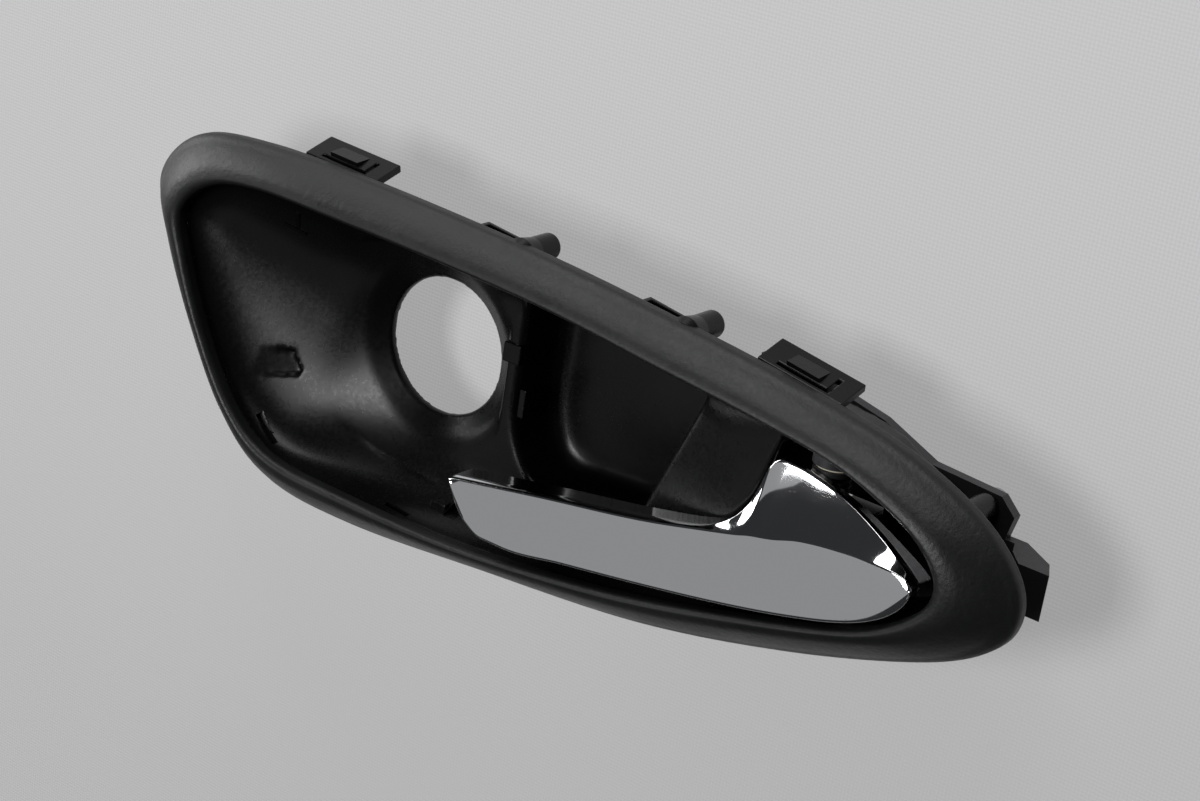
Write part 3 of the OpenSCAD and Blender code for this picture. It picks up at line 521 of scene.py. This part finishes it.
def blur(field, cells, rounds=3):
    """Box blur of a plane field, a few times over."""
    for _ in range(rounds):
        for axis in (0, 1):
            pad = [(0, 0), (0, 0)]
            pad[axis] = (cells + 1, cells)
            run = np.cumsum(np.pad(field, pad, mode="edge"), axis)
            top, low = np.split(run, [2 * cells + 1], axis)[1], np.split(run, [field.shape[axis]], axis)[0]
            field = (top - low) / (2 * cells + 1)
    return field


def bowl_field(step):
    """Field of the bowl with its pocket, well, flange, bosses and lugs, negative inside the plastic."""
    inner, outer = closed_curve(INNER_POINTS, CURVE_STEPS), closed_curve(OUTER_POINTS, CURVE_STEPS)
    xs, ys, zs = (np.arange(a, b + step, step, dtype=np.float32) for a, b in zip(FIELD_LOW, FIELD_HIGH))
    x2, z2 = np.meshgrid(xs, zs, indexing="ij")
    rim = lerp(inner, outer, RIM_SHARE)
    d_rim, near = outline_distance(rim, x2, z2)
    d_in, _ = outline_distance(inner, x2, z2)
    d_out, _ = outline_distance(outer, x2, z2)
    d_back, _ = outline_distance(WELL_BACK, x2, z2)
    rim_x = rim[near, 0]
    width = lerp(COVE_WIDE, COVE_MIDDLE, ease(*COVE_NARROWS, rim_x))
    width = lerp(width, COVE_END, ease(*COVE_ENDS, rim_x))
    # Away from the rim the coves run into each other without a crease
    width = blur(width, int(RIPPLE_BLUR / step), 2)
    cells = int(CREASE_BLUR / step)
    deep = ease(*BLUR_DEPTHS, -d_rim) * (1 - ease(*BLUR_ENDS, x2))
    width, d_rim = lerp(width, blur(width, cells), deep), lerp(d_rim, blur(d_rim, cells), deep)
    lean = x2 - LID_LEAN * (z2 - LID_Z)
    rise = FLOOR_SLOPE * np.maximum(0, np.hypot(x2, z2) - FUNNEL_R) * (1 - ease(*SLOPE_ENDS, x2))
    floor = lerp(-FUNNEL_H - rise, LID_Y, np.clip((lean - LID_X0) / LID_RUN, 0, 1) ** LID_POWER)
    mouth = round_polygon(POCKET_MOUTH, x2, z2, MOUTH_ROUND)
    edge = np.array(WINDOW_EDGE)
    beside = np.interp(z2, edge[::-1, 1], edge[::-1, 0]) - x2
    share = np.clip(d_in / np.maximum(d_in - d_out, 0.1), 0, 1)
    sloped = lerp(*UNDER_DEPTHS, (share - UNDER_START) / UNDER_RUN)
    under = CREST_Y + UNDER_Y + np.where(share < UNDER_START, UNDER_DEPTHS[0], sloped) + UNDER_GAP

    def wide(a):
        """Plane field taken through the depth."""
        return a.astype(np.float32)[:, None, :]

    x, z, y = wide(x2), wide(z2), ys[None, :, None]
    radius = np.hypot(x, z)
    # Open dish: a quarter ellipse from the rim down to the floor
    w, depth, d = wide(width), wide(floor - RIM_Y), wide(-d_rim)
    q0, q1 = np.maximum(w - d, 0) / w, np.maximum(y - RIM_Y, 0) / depth
    k0, k1 = np.hypot(q0, q1), np.hypot(q0 / w, q1 / depth)
    face = k0 * (k0 - 1) / np.maximum(k1, 1e-4)
    # Ramp sunk into the cove
    ramp = round_polygon(RAMP, x2, z2, RAMP_ROUND)
    dip = RAMP_FALL * np.maximum(x2 - RAMP_X0, 0)
    face = np.minimum(face, np.maximum(wide(ramp), face - wide(dip)))
    # Funnel down to the switch hole, its edge well rounded, and flat beside the finger pocket
    cone = (radius - HOLE_R - LIP - FUNNEL_FALL * np.maximum(-y, 0)) / math.hypot(1, FUNNEL_FALL)
    cone = np.maximum(cone, np.maximum(y, -FUNNEL_H - FUNNEL_TOP - y))
    rounded = smooth_min(face, cone, FUNNEL_ROUND)
    face = np.where(x < SOCKET_FLAT, rounded, face)
    # Finger pocket
    taper = POCKET_TAPER * np.clip((y - POCKET_TOP) / (POCKET_Y - POCKET_TOP), 0, 1)
    pocket = smooth_max(wide(mouth) + taper, y - POCKET_Y, POCKET_ROUND)
    face = smooth_min(face, pocket, POCKET_FILLET)
    shell = np.maximum(np.maximum(-face, face - WALL), np.maximum(RIM_Y - y, HOLE_R - radius))
    # Well round the pivot
    t = np.clip((y - RIM_Y) / (PLATE_Y - RIM_Y), 0, 1)
    bore = lerp(wide(d_in) - 1, wide(d_back), t)
    well = np.maximum(bore, WELL_X0 - x)
    ring = np.maximum(np.maximum(-well, well - WALL), np.maximum(RIM_Y + WELL_LIP - y, y - PLATE_Y + HAIR))
    ring = np.maximum(ring, SINK - face)
    window = np.maximum(bore, wide(beside))
    solid = np.minimum(np.maximum(shell, -window), ring)
    behind = np.maximum(np.maximum(well, np.abs(z) - WELL_HIGH), WALL + CLEAR - face)
    solid = np.maximum(solid, -behind)
    # Flange under the surround
    flange = np.abs(y - wide(under) - FLANGE_HALF) - FLANGE_HALF
    flange = np.maximum(flange, wide((share - FLANGE_END) * (d_in - d_out)))
    flange = np.maximum(flange, FLANGE_START - wide(d_in))
    solid = np.minimum(solid, np.maximum(flange, wide(d_out)))
    # Lugs for the inserts and bosses for the carrier's screws
    for cx, cz, y0 in LUGS:
        r = np.hypot(x - cx, z - cz)
        lug = np.maximum(np.maximum(r - LUG_R, y0 - y), np.maximum(y - LUG_Y, SINK - face))
        solid = np.maximum(np.minimum(solid, lug), -np.maximum(r - LUG_BORE_R, LUG_BORE_Y - y))
    for cx, cz, y0 in BOSSES:
        r = np.hypot(x - cx, z - cz)
        boss = np.maximum(np.maximum(r - BOSS_R, y0 - y), y - PLATE_Y + HAIR)
        solid = np.maximum(np.minimum(solid, boss), -np.maximum(r - BOSS_BORE_R, BOSS_BORE_Y - y))
    return solid


def cut_slots(obj):
    """Cuts the slots for the surround's hooks and the hole beside the lever's free end."""
    bm = bmesh.new()
    for ends in SLOTS:
        outward = sum((Vector(p) for p in ends), Vector())
        outward.y = 0
        strip(bm, ends, outward, SLOT_HEIGHT, -3, SLOT_DEPTH)
    block(bm, *HOOK_HOLE, width=0)
    cutter = finish("slot_cutter", bm, smooth=False)
    cut = obj.modifiers.new("slots", "BOOLEAN")
    cut.object, cut.operation, cut.solver = cutter, "DIFFERENCE", "EXACT"
    bake_modifiers(obj)
    bpy.data.objects.remove(cutter)
    obj.data.set_sharp_from_angle(angle=0.9)


def add_fixings(bm):
    """Clip tabs, pin frames and locating pins along the upper edge."""
    for x, z, slope in CLIP_TABS:
        place = at(x, EDGE_BACK, z) @ turn(slope, "Y") @ turn(TAB_LEAN, "X") @ at(-TAB_MIDDLE, 0, -TAB_THICK)
        plate(bm, TAB_XS, TAB_YS, TAB_OPEN, TAB_THICK, place)
        spot = place @ at(*WEDGE_AT)
        wedge = block(bm, (0, 0, 0), WEDGE_SIZE, spot, 0)
        corner = Vector(WEDGE_SIZE) * MM / 2
        local = [(v, spot.inverted() @ v.co) for v in wedge]
        tip = [v for v, co in local if co.y > corner.y and co.z > corner.z]
        bmesh.ops.translate(bm, verts=tip, vec=place.to_3x3() @ Vector((0, 0, -WEDGE_FALL * MM)))
        for low, high in TAB_STRIPS:
            block(bm, low, high, place)
    for low, high in (*STOPS, SNAP_BLOCK):
        block(bm, low, high, width=0.3)
    for ends in T_MARK:
        strip(bm, ends, T_FACING, *T_STROKE)
    for x, z, slope in LOCATORS:
        place = at(x - FRAME_OFFSET, EDGE_BACK, z) @ turn(slope, "Y") @ at(-FRAME_XS[-1], 0, -1)
        plate(bm, FRAME_XS, FRAME_YS, FRAME_OPEN, FRAME_THICK, place)
        block(bm, *FRAME_STRIP, place)
        lathe(bm, PIN_PROFILE, at(x, EDGE_BACK, z) @ turn(-90, "X"))


def make_bowl(step, most):
    """The bowl's skin, thinned to so many triangles at most, and its crisp fixings."""
    points, quads = surface_net(bowl_field(step), FIELD_LOW, step)
    obj = new_object("bowl_moulding", relax(points, quads), quads)
    if len(quads) * 2 > most:
        thin = obj.modifiers.new("thin", "DECIMATE")
        thin.ratio = most / (2.0 * len(quads))
        bake_modifiers(obj)
    cut_slots(obj)
    fixings = bmesh.new()
    add_fixings(fixings)
    crisp = finish("bowl_fixings", fixings, smooth=False)
    return obj, crisp


def make_surround(steps=20):
    """Surround lofted along the band between the opening and the outer edge."""
    inner, outer = closed_curve(INNER_POINTS, steps), closed_curve(OUTER_POINTS, steps)
    section = closed_curve(SURROUND_SECTION, 3)
    section[:, 0] = np.clip(section[:, 0], 0, 1)
    rings = []
    for a, b in zip(inner, outer):
        rings.append([(lerp(a[0], b[0], u), CREST_Y + y, lerp(a[1], b[1], u)) for u, y in section])
    bm, _, _ = loft(rings + rings[:1])
    return finish("surround", bm)


def lever_section(x, inset):
    """Outer or inner section of the plated cover at x."""
    lower, crease, neck = (float(smooth_along(c, x)) for c in (LOWER_EDGE, CREASE_EDGE, NECK_EDGE))
    zb, zc, zn, yf = lower + inset, crease - inset * 0.4, neck - inset, FACE_Y + inset
    yn = min(yf + float(smooth_along(NECK_BACK, x)), BAR_BACK - 0.6)
    lo = min(zb, zn - 0.3)
    top = max(zn, lo + 0.3)
    mid = min(max(zc, lo + 0.1), top - 0.1)
    r = min(COVER_ROUND, 0.2 * (top - lo))
    low_points, face_points, neck_points = SECTION_POINTS
    pts = [(max(yf + 3, FACE_Y + 3), lo + 0.12), (yf + 2, lo + 0.02)]
    for a in np.linspace(0, 90, low_points + 1):
        pts.append((yf + r - r * math.sin(math.radians(a)), lo + r - r * math.cos(math.radians(a))))
    for t in np.linspace(0.06, 0.96, face_points):
        pts.append((yf - FACE_HOLLOW * 4 * t * (1 - t), lerp(lo + r, mid, t)))
    for t in np.linspace(0.0, 1.0, neck_points):
        hump = NECK_HUMP * math.sin(math.pi * t) * (top - mid) / 12
        pts.append((lerp(yf, yn, t) + hump, lerp(mid, top, t)))
    pts += [(yn + 0.15, top + 0.01), (yn + 0.5, top + 0.02), (BAR_BACK, top - 0.02)]
    return pts


def make_lever(count=150):
    """Plated cover: an outer skin and an inner one, joined round the back edge."""
    rings = []
    inner_ends = LEVER_X0 + COVER_WALL, LEVER_X0 + LEVER_LONG - COVER_WALL
    for t in np.linspace(0, 1, count):
        # Sections stand closer together near the two ends
        x = LEVER_X0 + LEVER_LONG * (0.5 - 0.5 * math.cos(math.pi * t)) * 0.35 + LEVER_LONG * t * 0.65
        inner_x = lerp(*inner_ends, (x - LEVER_X0) / LEVER_LONG)
        outside = [(x, y, z) for y, z in lever_section(x, 0)]
        inside = [(inner_x, y, z) for y, z in lever_section(inner_x, COVER_WALL)]
        rings.append(outside + inside[::-1])
    bm, first, last = loft(rings)
    n = len(first)
    for ring in (first, last):
        for k in range(n // 2 - 1):
            bm.faces.new((ring[k], ring[k + 1], ring[n - 2 - k], ring[n - 1 - k]))
    return finish("plated_cover", bm)


# Materials

def shade(colour, share):
    """A colour made darker or lighter."""
    return tuple(c * share for c in colour)


def grained_plastic(name, colour, roughness, grain, depth, mottle=0.15, sheen=0.5):
    """Moulded plastic with a fine spark-eroded grain and faint cloudiness."""
    b = Bench(name)
    fine = b.noise(grain, 3, 0.6)
    coarse = b.noise(grain * 0.35, 2, 0.5)
    cloud = b.noise(28.0, 4, 0.55)
    tint = b.mix(b.ramp(cloud, 0.35, 0.7), shade(colour, 1 - mottle), shade(colour, 1 + mottle))
    rough = b.ramp(cloud, 0.3, 0.7, roughness - 0.05, roughness + 0.06) + b.ramp(fine, 0.3, 0.7, -0.04, 0.04)
    return b.set(Base_Color=tint, Roughness=rough, Specular_IOR_Level=sheen,
                 Normal=b.bump(fine + coarse, depth, 1.0))


def plated(name):
    """Bright plating with very faint polishing waves and dust."""
    b = Bench(name)
    wave = b.noise(35.0, 2, 0.4)
    dust = b.noise(700.0, 2, 0.6)
    rough = b.ramp(wave, 0.3, 0.7, 0.045, 0.075) + b.ramp(dust, 0.62, 0.75, 0.0, 0.05)
    return b.set(Base_Color=(0.82, 0.83, 0.85), Metallic=1.0, Roughness=rough,
                 Normal=b.bump(wave, 0.00002, 0.25))


def metal(name, colour, roughness):
    """Plain machined or drawn metal."""
    b = Bench(name)
    stretched = b.node("ShaderNodeMapping", 0, {"Vector": b.place(), "Scale": (1, 1, 0.1)})
    lines = b.noise(400.0, 3, 0.6, stretched)
    cloud = b.noise(120.0, 2, 0.5)
    tint = b.mix(b.ramp(cloud, 0.3, 0.7), shade(colour, 0.88), colour)
    rough = b.ramp(lines, 0.3, 0.7, roughness - 0.08, roughness + 0.1)
    return b.set(Base_Color=tint, Metallic=1.0, Roughness=rough, Normal=b.bump(lines, 0.00001, 0.5))


# Threads of the floor's weave (radians per metre), and how much of what is seen of it is its own glow
THREADS = 3600.0
GLOW_SHARE = 0.58


def cloth_floor(name, colour, glow):
    """Pale floor with a faint weave. What the camera and the metal see of it is partly its own glow, which
    fades downwards as a painted falloff of the light from above, and its back is clear so that the handle's
    rear can be seen."""
    b = Bench(name)
    x = b.node("ShaderNodeSeparateXYZ", 0, {0: b.place()})
    z = b.node("ShaderNodeSeparateXYZ", 2, {0: b.place()})
    weft = b.node("ShaderNodeMath", 0, {0: (x + z) * THREADS}, operation="SINE")
    warp = b.node("ShaderNodeMath", 0, {0: (x - z) * THREADS}, operation="SINE")
    weave = weft * warp + b.noise(1400.0, 2, 0.6)
    tint = b.mix(b.ramp(weave, 0.0, 1.0), shade(colour, 0.96), colour)
    b.set(Base_Color=tint, Roughness=0.95, Specular_IOR_Level=0.1, Normal=b.bump(weave, 0.0001, 0.3))
    # Painted light falloff: the glow is lighter at the top and darker towards the bottom, as if lit from
    # above; the weave varies it slightly
    painted_falloff = b.ramp(z + x * 0.1, -0.16, 0.17, 0.80, 1.08) * b.ramp(weave, -1.0, 2.0, 0.975, 1.025)
    shine = b.node("ShaderNodeEmission", 0, {"Color": (*glow, 1), "Strength": painted_falloff})
    path = b.tree.nodes.new("ShaderNodeLightPath").outputs
    seen = (Value(b, path["Is Camera Ray"]) + Value(b, path["Is Glossy Ray"])
            + Value(b, path["Is Transmission Ray"])) * GLOW_SHARE
    lit = b.node("ShaderNodeMixShader", 0, {0: seen, 1: Value(b, b.shader.outputs[0]), 2: shine})
    rear = b.node("ShaderNodeNewGeometry", "Backfacing")
    clear = b.node("ShaderNodeBsdfTransparent")
    whole = b.node("ShaderNodeMixShader", 0, {0: rear, 1: lit, 2: clear})
    b.tree.links.new(whole.socket, b.out.inputs[0])
    return b.material


def pale_world(name, strength, seen):
    """Even faint light from all round, which the camera sees as a pale wall."""
    world = bpy.data.worlds.new(name)
    world.use_nodes = True
    tree = world.node_tree
    light = tree.nodes["Background"]
    light.inputs["Color"].default_value = (0.95, 0.97, 1.0, 1)
    light.inputs["Strength"].default_value = strength
    wall = tree.nodes.new("ShaderNodeBackground")
    wall.inputs["Color"].default_value = (*seen, 1)
    path = tree.nodes.new("ShaderNodeLightPath")
    mix = tree.nodes.new("ShaderNodeMixShader")
    tree.links.new(path.outputs["Is Camera Ray"], mix.inputs[0])
    tree.links.new(light.outputs[0], mix.inputs[1])
    tree.links.new(wall.outputs[0], mix.inputs[2])
    tree.links.new(mix.outputs[0], tree.nodes["World Output"].inputs["Surface"])
    return world


class HandleLooks(bpy.types.PropertyGroup):
    """Colours and grain of the handle's surfaces."""
    surround_colour: FloatVectorProperty(
        name="Surround", description="Colour of the trim surround", subtype="COLOR",
        default=(0.008, 0.0083, 0.009))
    bowl_colour: FloatVectorProperty(
        name="Bowl", description="Colour of the bowl and the switch ring", subtype="COLOR",
        default=(0.003, 0.003, 0.0034))
    grain_depth: FloatProperty(
        name="Grain depth", description="Depth of the moulded grain", unit="LENGTH",
        default=0.00004, min=0.0, max=0.0002, precision=6)
    bowl_step: FloatProperty(
        name="Bowl cell", description="Cell of the bowl's surface, in millimetres",
        default=0.6, min=0.4, max=2.0)


class HandleStage(bpy.types.PropertyGroup):
    """Light and background."""
    floor_colour: FloatVectorProperty(
        name="Floor", description="Colour of the floor", subtype="COLOR", default=(0.72, 0.72, 0.73))
    floor_glow: FloatVectorProperty(
        name="Floor glow", description="What the camera sees of the floor besides its lit colour",
        subtype="COLOR", default=(0.56, 0.555, 0.56))
    floor_depth: FloatProperty(
        name="Floor depth", description="How far the floor lies behind the switch hole", unit="LENGTH",
        default=0.0202)
    world_strength: FloatProperty(
        name="World", description="Strength of the even light from all round",
        default=0.03, min=0.0, max=3.0)
    light_scale: FloatProperty(
        name="Lamps", description="Share of the lamps' full power", subtype="FACTOR",
        default=1.0, min=0.0, max=10.0)


class HANDLE_OT_bowl(bpy.types.Operator):
    """Build the bowl with its pocket and well, and the fixings along its edge"""
    bl_idname = "handle.bowl"
    bl_label = "Build bowl"

    def execute(self, context):
        looks = context.scene.handle_looks
        plastic = grained_plastic("bowl_plastic", tuple(looks.bowl_colour), 0.28, 1000,
                                  looks.grain_depth * 0.35, sheen=0.25)
        step, most = ((looks.bowl_step, BOWL_MOST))
        for piece in make_bowl(step, most):
            piece.data.materials.append(plastic)
            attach(piece, HOUSING)
            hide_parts("bowl", "switch_socket")
        return {"FINISHED"}


class HANDLE_OT_surround(bpy.types.Operator):
    """Build the tapered trim surround"""
    bl_idname = "handle.surround"
    bl_label = "Build surround"

    def execute(self, context):
        looks = context.scene.handle_looks
        surround = make_surround()
        surround.data.materials.append(
            grained_plastic("surround_plastic", tuple(looks.surround_colour), 0.44, 1000,
                            looks.grain_depth * 2, mottle=0.2, sheen=0.4))
        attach(surround, HOUSING)
        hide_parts("bezel")
        return {"FINISHED"}


class HANDLE_OT_lever(bpy.types.Operator):
    """Build the plated lever cover"""
    bl_idname = "handle.lever"
    bl_label = "Build lever"

    def execute(self, context):
        lever = make_lever()
        lever.data.materials.append(plated("lever_chrome"))
        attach(lever, LEVER)
        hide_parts("lever_cover")
        return {"FINISHED"}


class HANDLE_OT_fittings(bpy.types.Operator):
    """Give the carried-over CAD nodes their finishes"""
    bl_idname = "handle.fittings"
    bl_label = "Finish fittings"

    def execute(self, context):
        black = grained_plastic("carrier_plastic", (0.020, 0.020, 0.023), 0.45, 800, 0.00003)
        core = grained_plastic("core_plastic", (0.010, 0.010, 0.011), 0.4, 800, 0.00002)
        steel = metal("pin_steel", (0.56, 0.56, 0.58), 0.3)
        wire = metal("spring_steel", (0.4, 0.4, 0.42), 0.35)
        screw = metal("screw_steel", (0.5, 0.5, 0.52), 0.35)
        brass = metal("insert_brass", (0.62, 0.48, 0.22), 0.3)
        rubber = grained_plastic("buffer_rubber", (0.018, 0.018, 0.018), 0.8, 600, 0.00003)
        bush = grained_plastic("bush_plastic", (0.6, 0.56, 0.46), 0.35, 900, 0.00001, mottle=0.04)
        finishes = {
            "carrier": black, "lever_core": core, "pivot_pin": steel, "pivot_bushes": bush,
            "pin_clip": wire, "return_spring": wire, "rest_buffer": rubber, "travel_buffer": rubber,
            "carrier_screws": screw, "cover_screws": screw, "fixing_inserts": brass}
        for node, material in finishes.items():
            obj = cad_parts[node]
            if not obj.material_slots:
                obj.data.materials.append(material)
            for slot in obj.material_slots:
                slot.material = material
        return {"FINISHED"}


# Lamps: name, direction and distance from the handle's middle (m), width and height (m), and radiance.
# The handle lies on its back, so up from the floor is -Y.
MIDDLE = Vector((0.035, 0, 0))
LAMPS = [
    ("overhead", (-0.12, -0.955, 0.13), 1.1, (0.34, 0.34), 17.0),
    ("ceiling", (-0.50, -0.80, -0.34), 1.3, (1.3, 1.15), 0.27),
    ("left", (-0.92, -0.22, 0.30), 1.0, (0.3, 0.8), 6.6),
    ("top", (-0.15, -0.24, 0.96), 1.0, (1.2, 0.35), 4.0),
    ("behind", (0.2, 0.9, 0.35), 1.0, (1.2, 0.8), 1.6),
]
FLOOR_SIZE = 4.0
# The camera: where it stands (m), where it looks, which way is up, its lens and the width of its film (mm)
CAMERA_AT = (0.3346, -0.4417, 0.2065)
CAMERA_AIM, CAMERA_UP = (-0.5128, 0.7792, -0.3604), (-0.3248, 0.2125, 0.9216)
LENS, FILM = 78.0, 36.0


class HANDLE_OT_stage(bpy.types.Operator):
    """Set the floor, the lights and the camera"""
    bl_idname = "handle.stage"
    bl_label = "Build stage"

    def execute(self, context):
        stage = context.scene.handle_stage
        bm = bmesh.new()
        bmesh.ops.create_grid(bm, x_segments=1, y_segments=1, size=FLOOR_SIZE,
                              matrix=Matrix.Translation((0, stage.floor_depth, 0)) @ turn(90, "X"))
        floor = finish("floor", bm, smooth=False)
        if floor.data.polygons[0].normal.y > 0:
            floor.data.flip_normals()
        glow = tuple(stage.floor_glow)
        floor.data.materials.append(cloth_floor("floor_cloth", tuple(stage.floor_colour), glow))
        context.scene.world = pale_world("studio", stage.world_strength, glow)
        for name, direction, distance, size, radiance in LAMPS:
            light = bpy.data.lights.new(name, "AREA")
            light.shape = "RECTANGLE"
            light.size, light.size_y = size
            light.energy = radiance * math.pi * size[0] * size[1] * stage.light_scale
            obj = bpy.data.objects.new(name, light)
            obj.location = MIDDLE + Vector(direction).normalized() * distance
            obj.rotation_euler = (MIDDLE - obj.location).to_track_quat("-Z", "Y").to_euler()
            context.scene.collection.objects.link(obj)
        forward, up = Vector(CAMERA_AIM).normalized(), Vector(CAMERA_UP)
        up = (up - forward * up.dot(forward)).normalized()
        camera = bpy.data.objects.new("camera", bpy.data.cameras.new("camera"))
        camera.matrix_world = Matrix.Translation(CAMERA_AT) @ Matrix((
            forward.cross(up), up, -forward)).transposed().to_4x4()
        camera.data.lens = LENS
        camera.data.sensor_width = FILM
        camera.data.clip_start, camera.data.clip_end = 0.01, 50.0
        context.scene.collection.objects.link(camera)
        context.scene.camera = camera
        context.scene.view_settings.view_transform = "Standard"
        return {"FINISHED"}


class HANDLE_PT_panel(bpy.types.Panel):
    """Settings and steps of the handle's looks"""
    bl_idname = "HANDLE_PT_panel"
    bl_label = "Door handle"
    bl_space_type = "VIEW_3D"
    bl_region_type = "UI"
    bl_category = "Handle"

    def draw(self, context):
        for group in (context.scene.handle_looks, context.scene.handle_stage):
            for key in group.bl_rna.properties.keys():
                if key not in {"rna_type", "name"}:
                    self.layout.prop(group, key)
        for step in STEPS:
            self.layout.operator(step)


CLASSES = (HandleLooks, HandleStage, HANDLE_OT_bowl, HANDLE_OT_surround, HANDLE_OT_lever,
           HANDLE_OT_fittings, HANDLE_OT_stage, HANDLE_PT_panel)
STEPS = ("handle.stage", "handle.bowl", "handle.surround", "handle.lever", "handle.fittings")


def register():
    for cls in CLASSES:
        bpy.utils.register_class(cls)
    bpy.types.Scene.handle_looks = PointerProperty(type=HandleLooks)
    bpy.types.Scene.handle_stage = PointerProperty(type=HandleStage)


def unregister():
    del bpy.types.Scene.handle_looks
    del bpy.types.Scene.handle_stage
    for cls in reversed(CLASSES):
        bpy.utils.unregister_class(cls)


def main():
    register()
    for step in STEPS:
        group, name = step.split(".")
        if getattr(getattr(bpy.ops, group), name)() != {"FINISHED"}:
            raise RuntimeError(f"{step} did not finish")


if __name__ == "__main__":
    main()
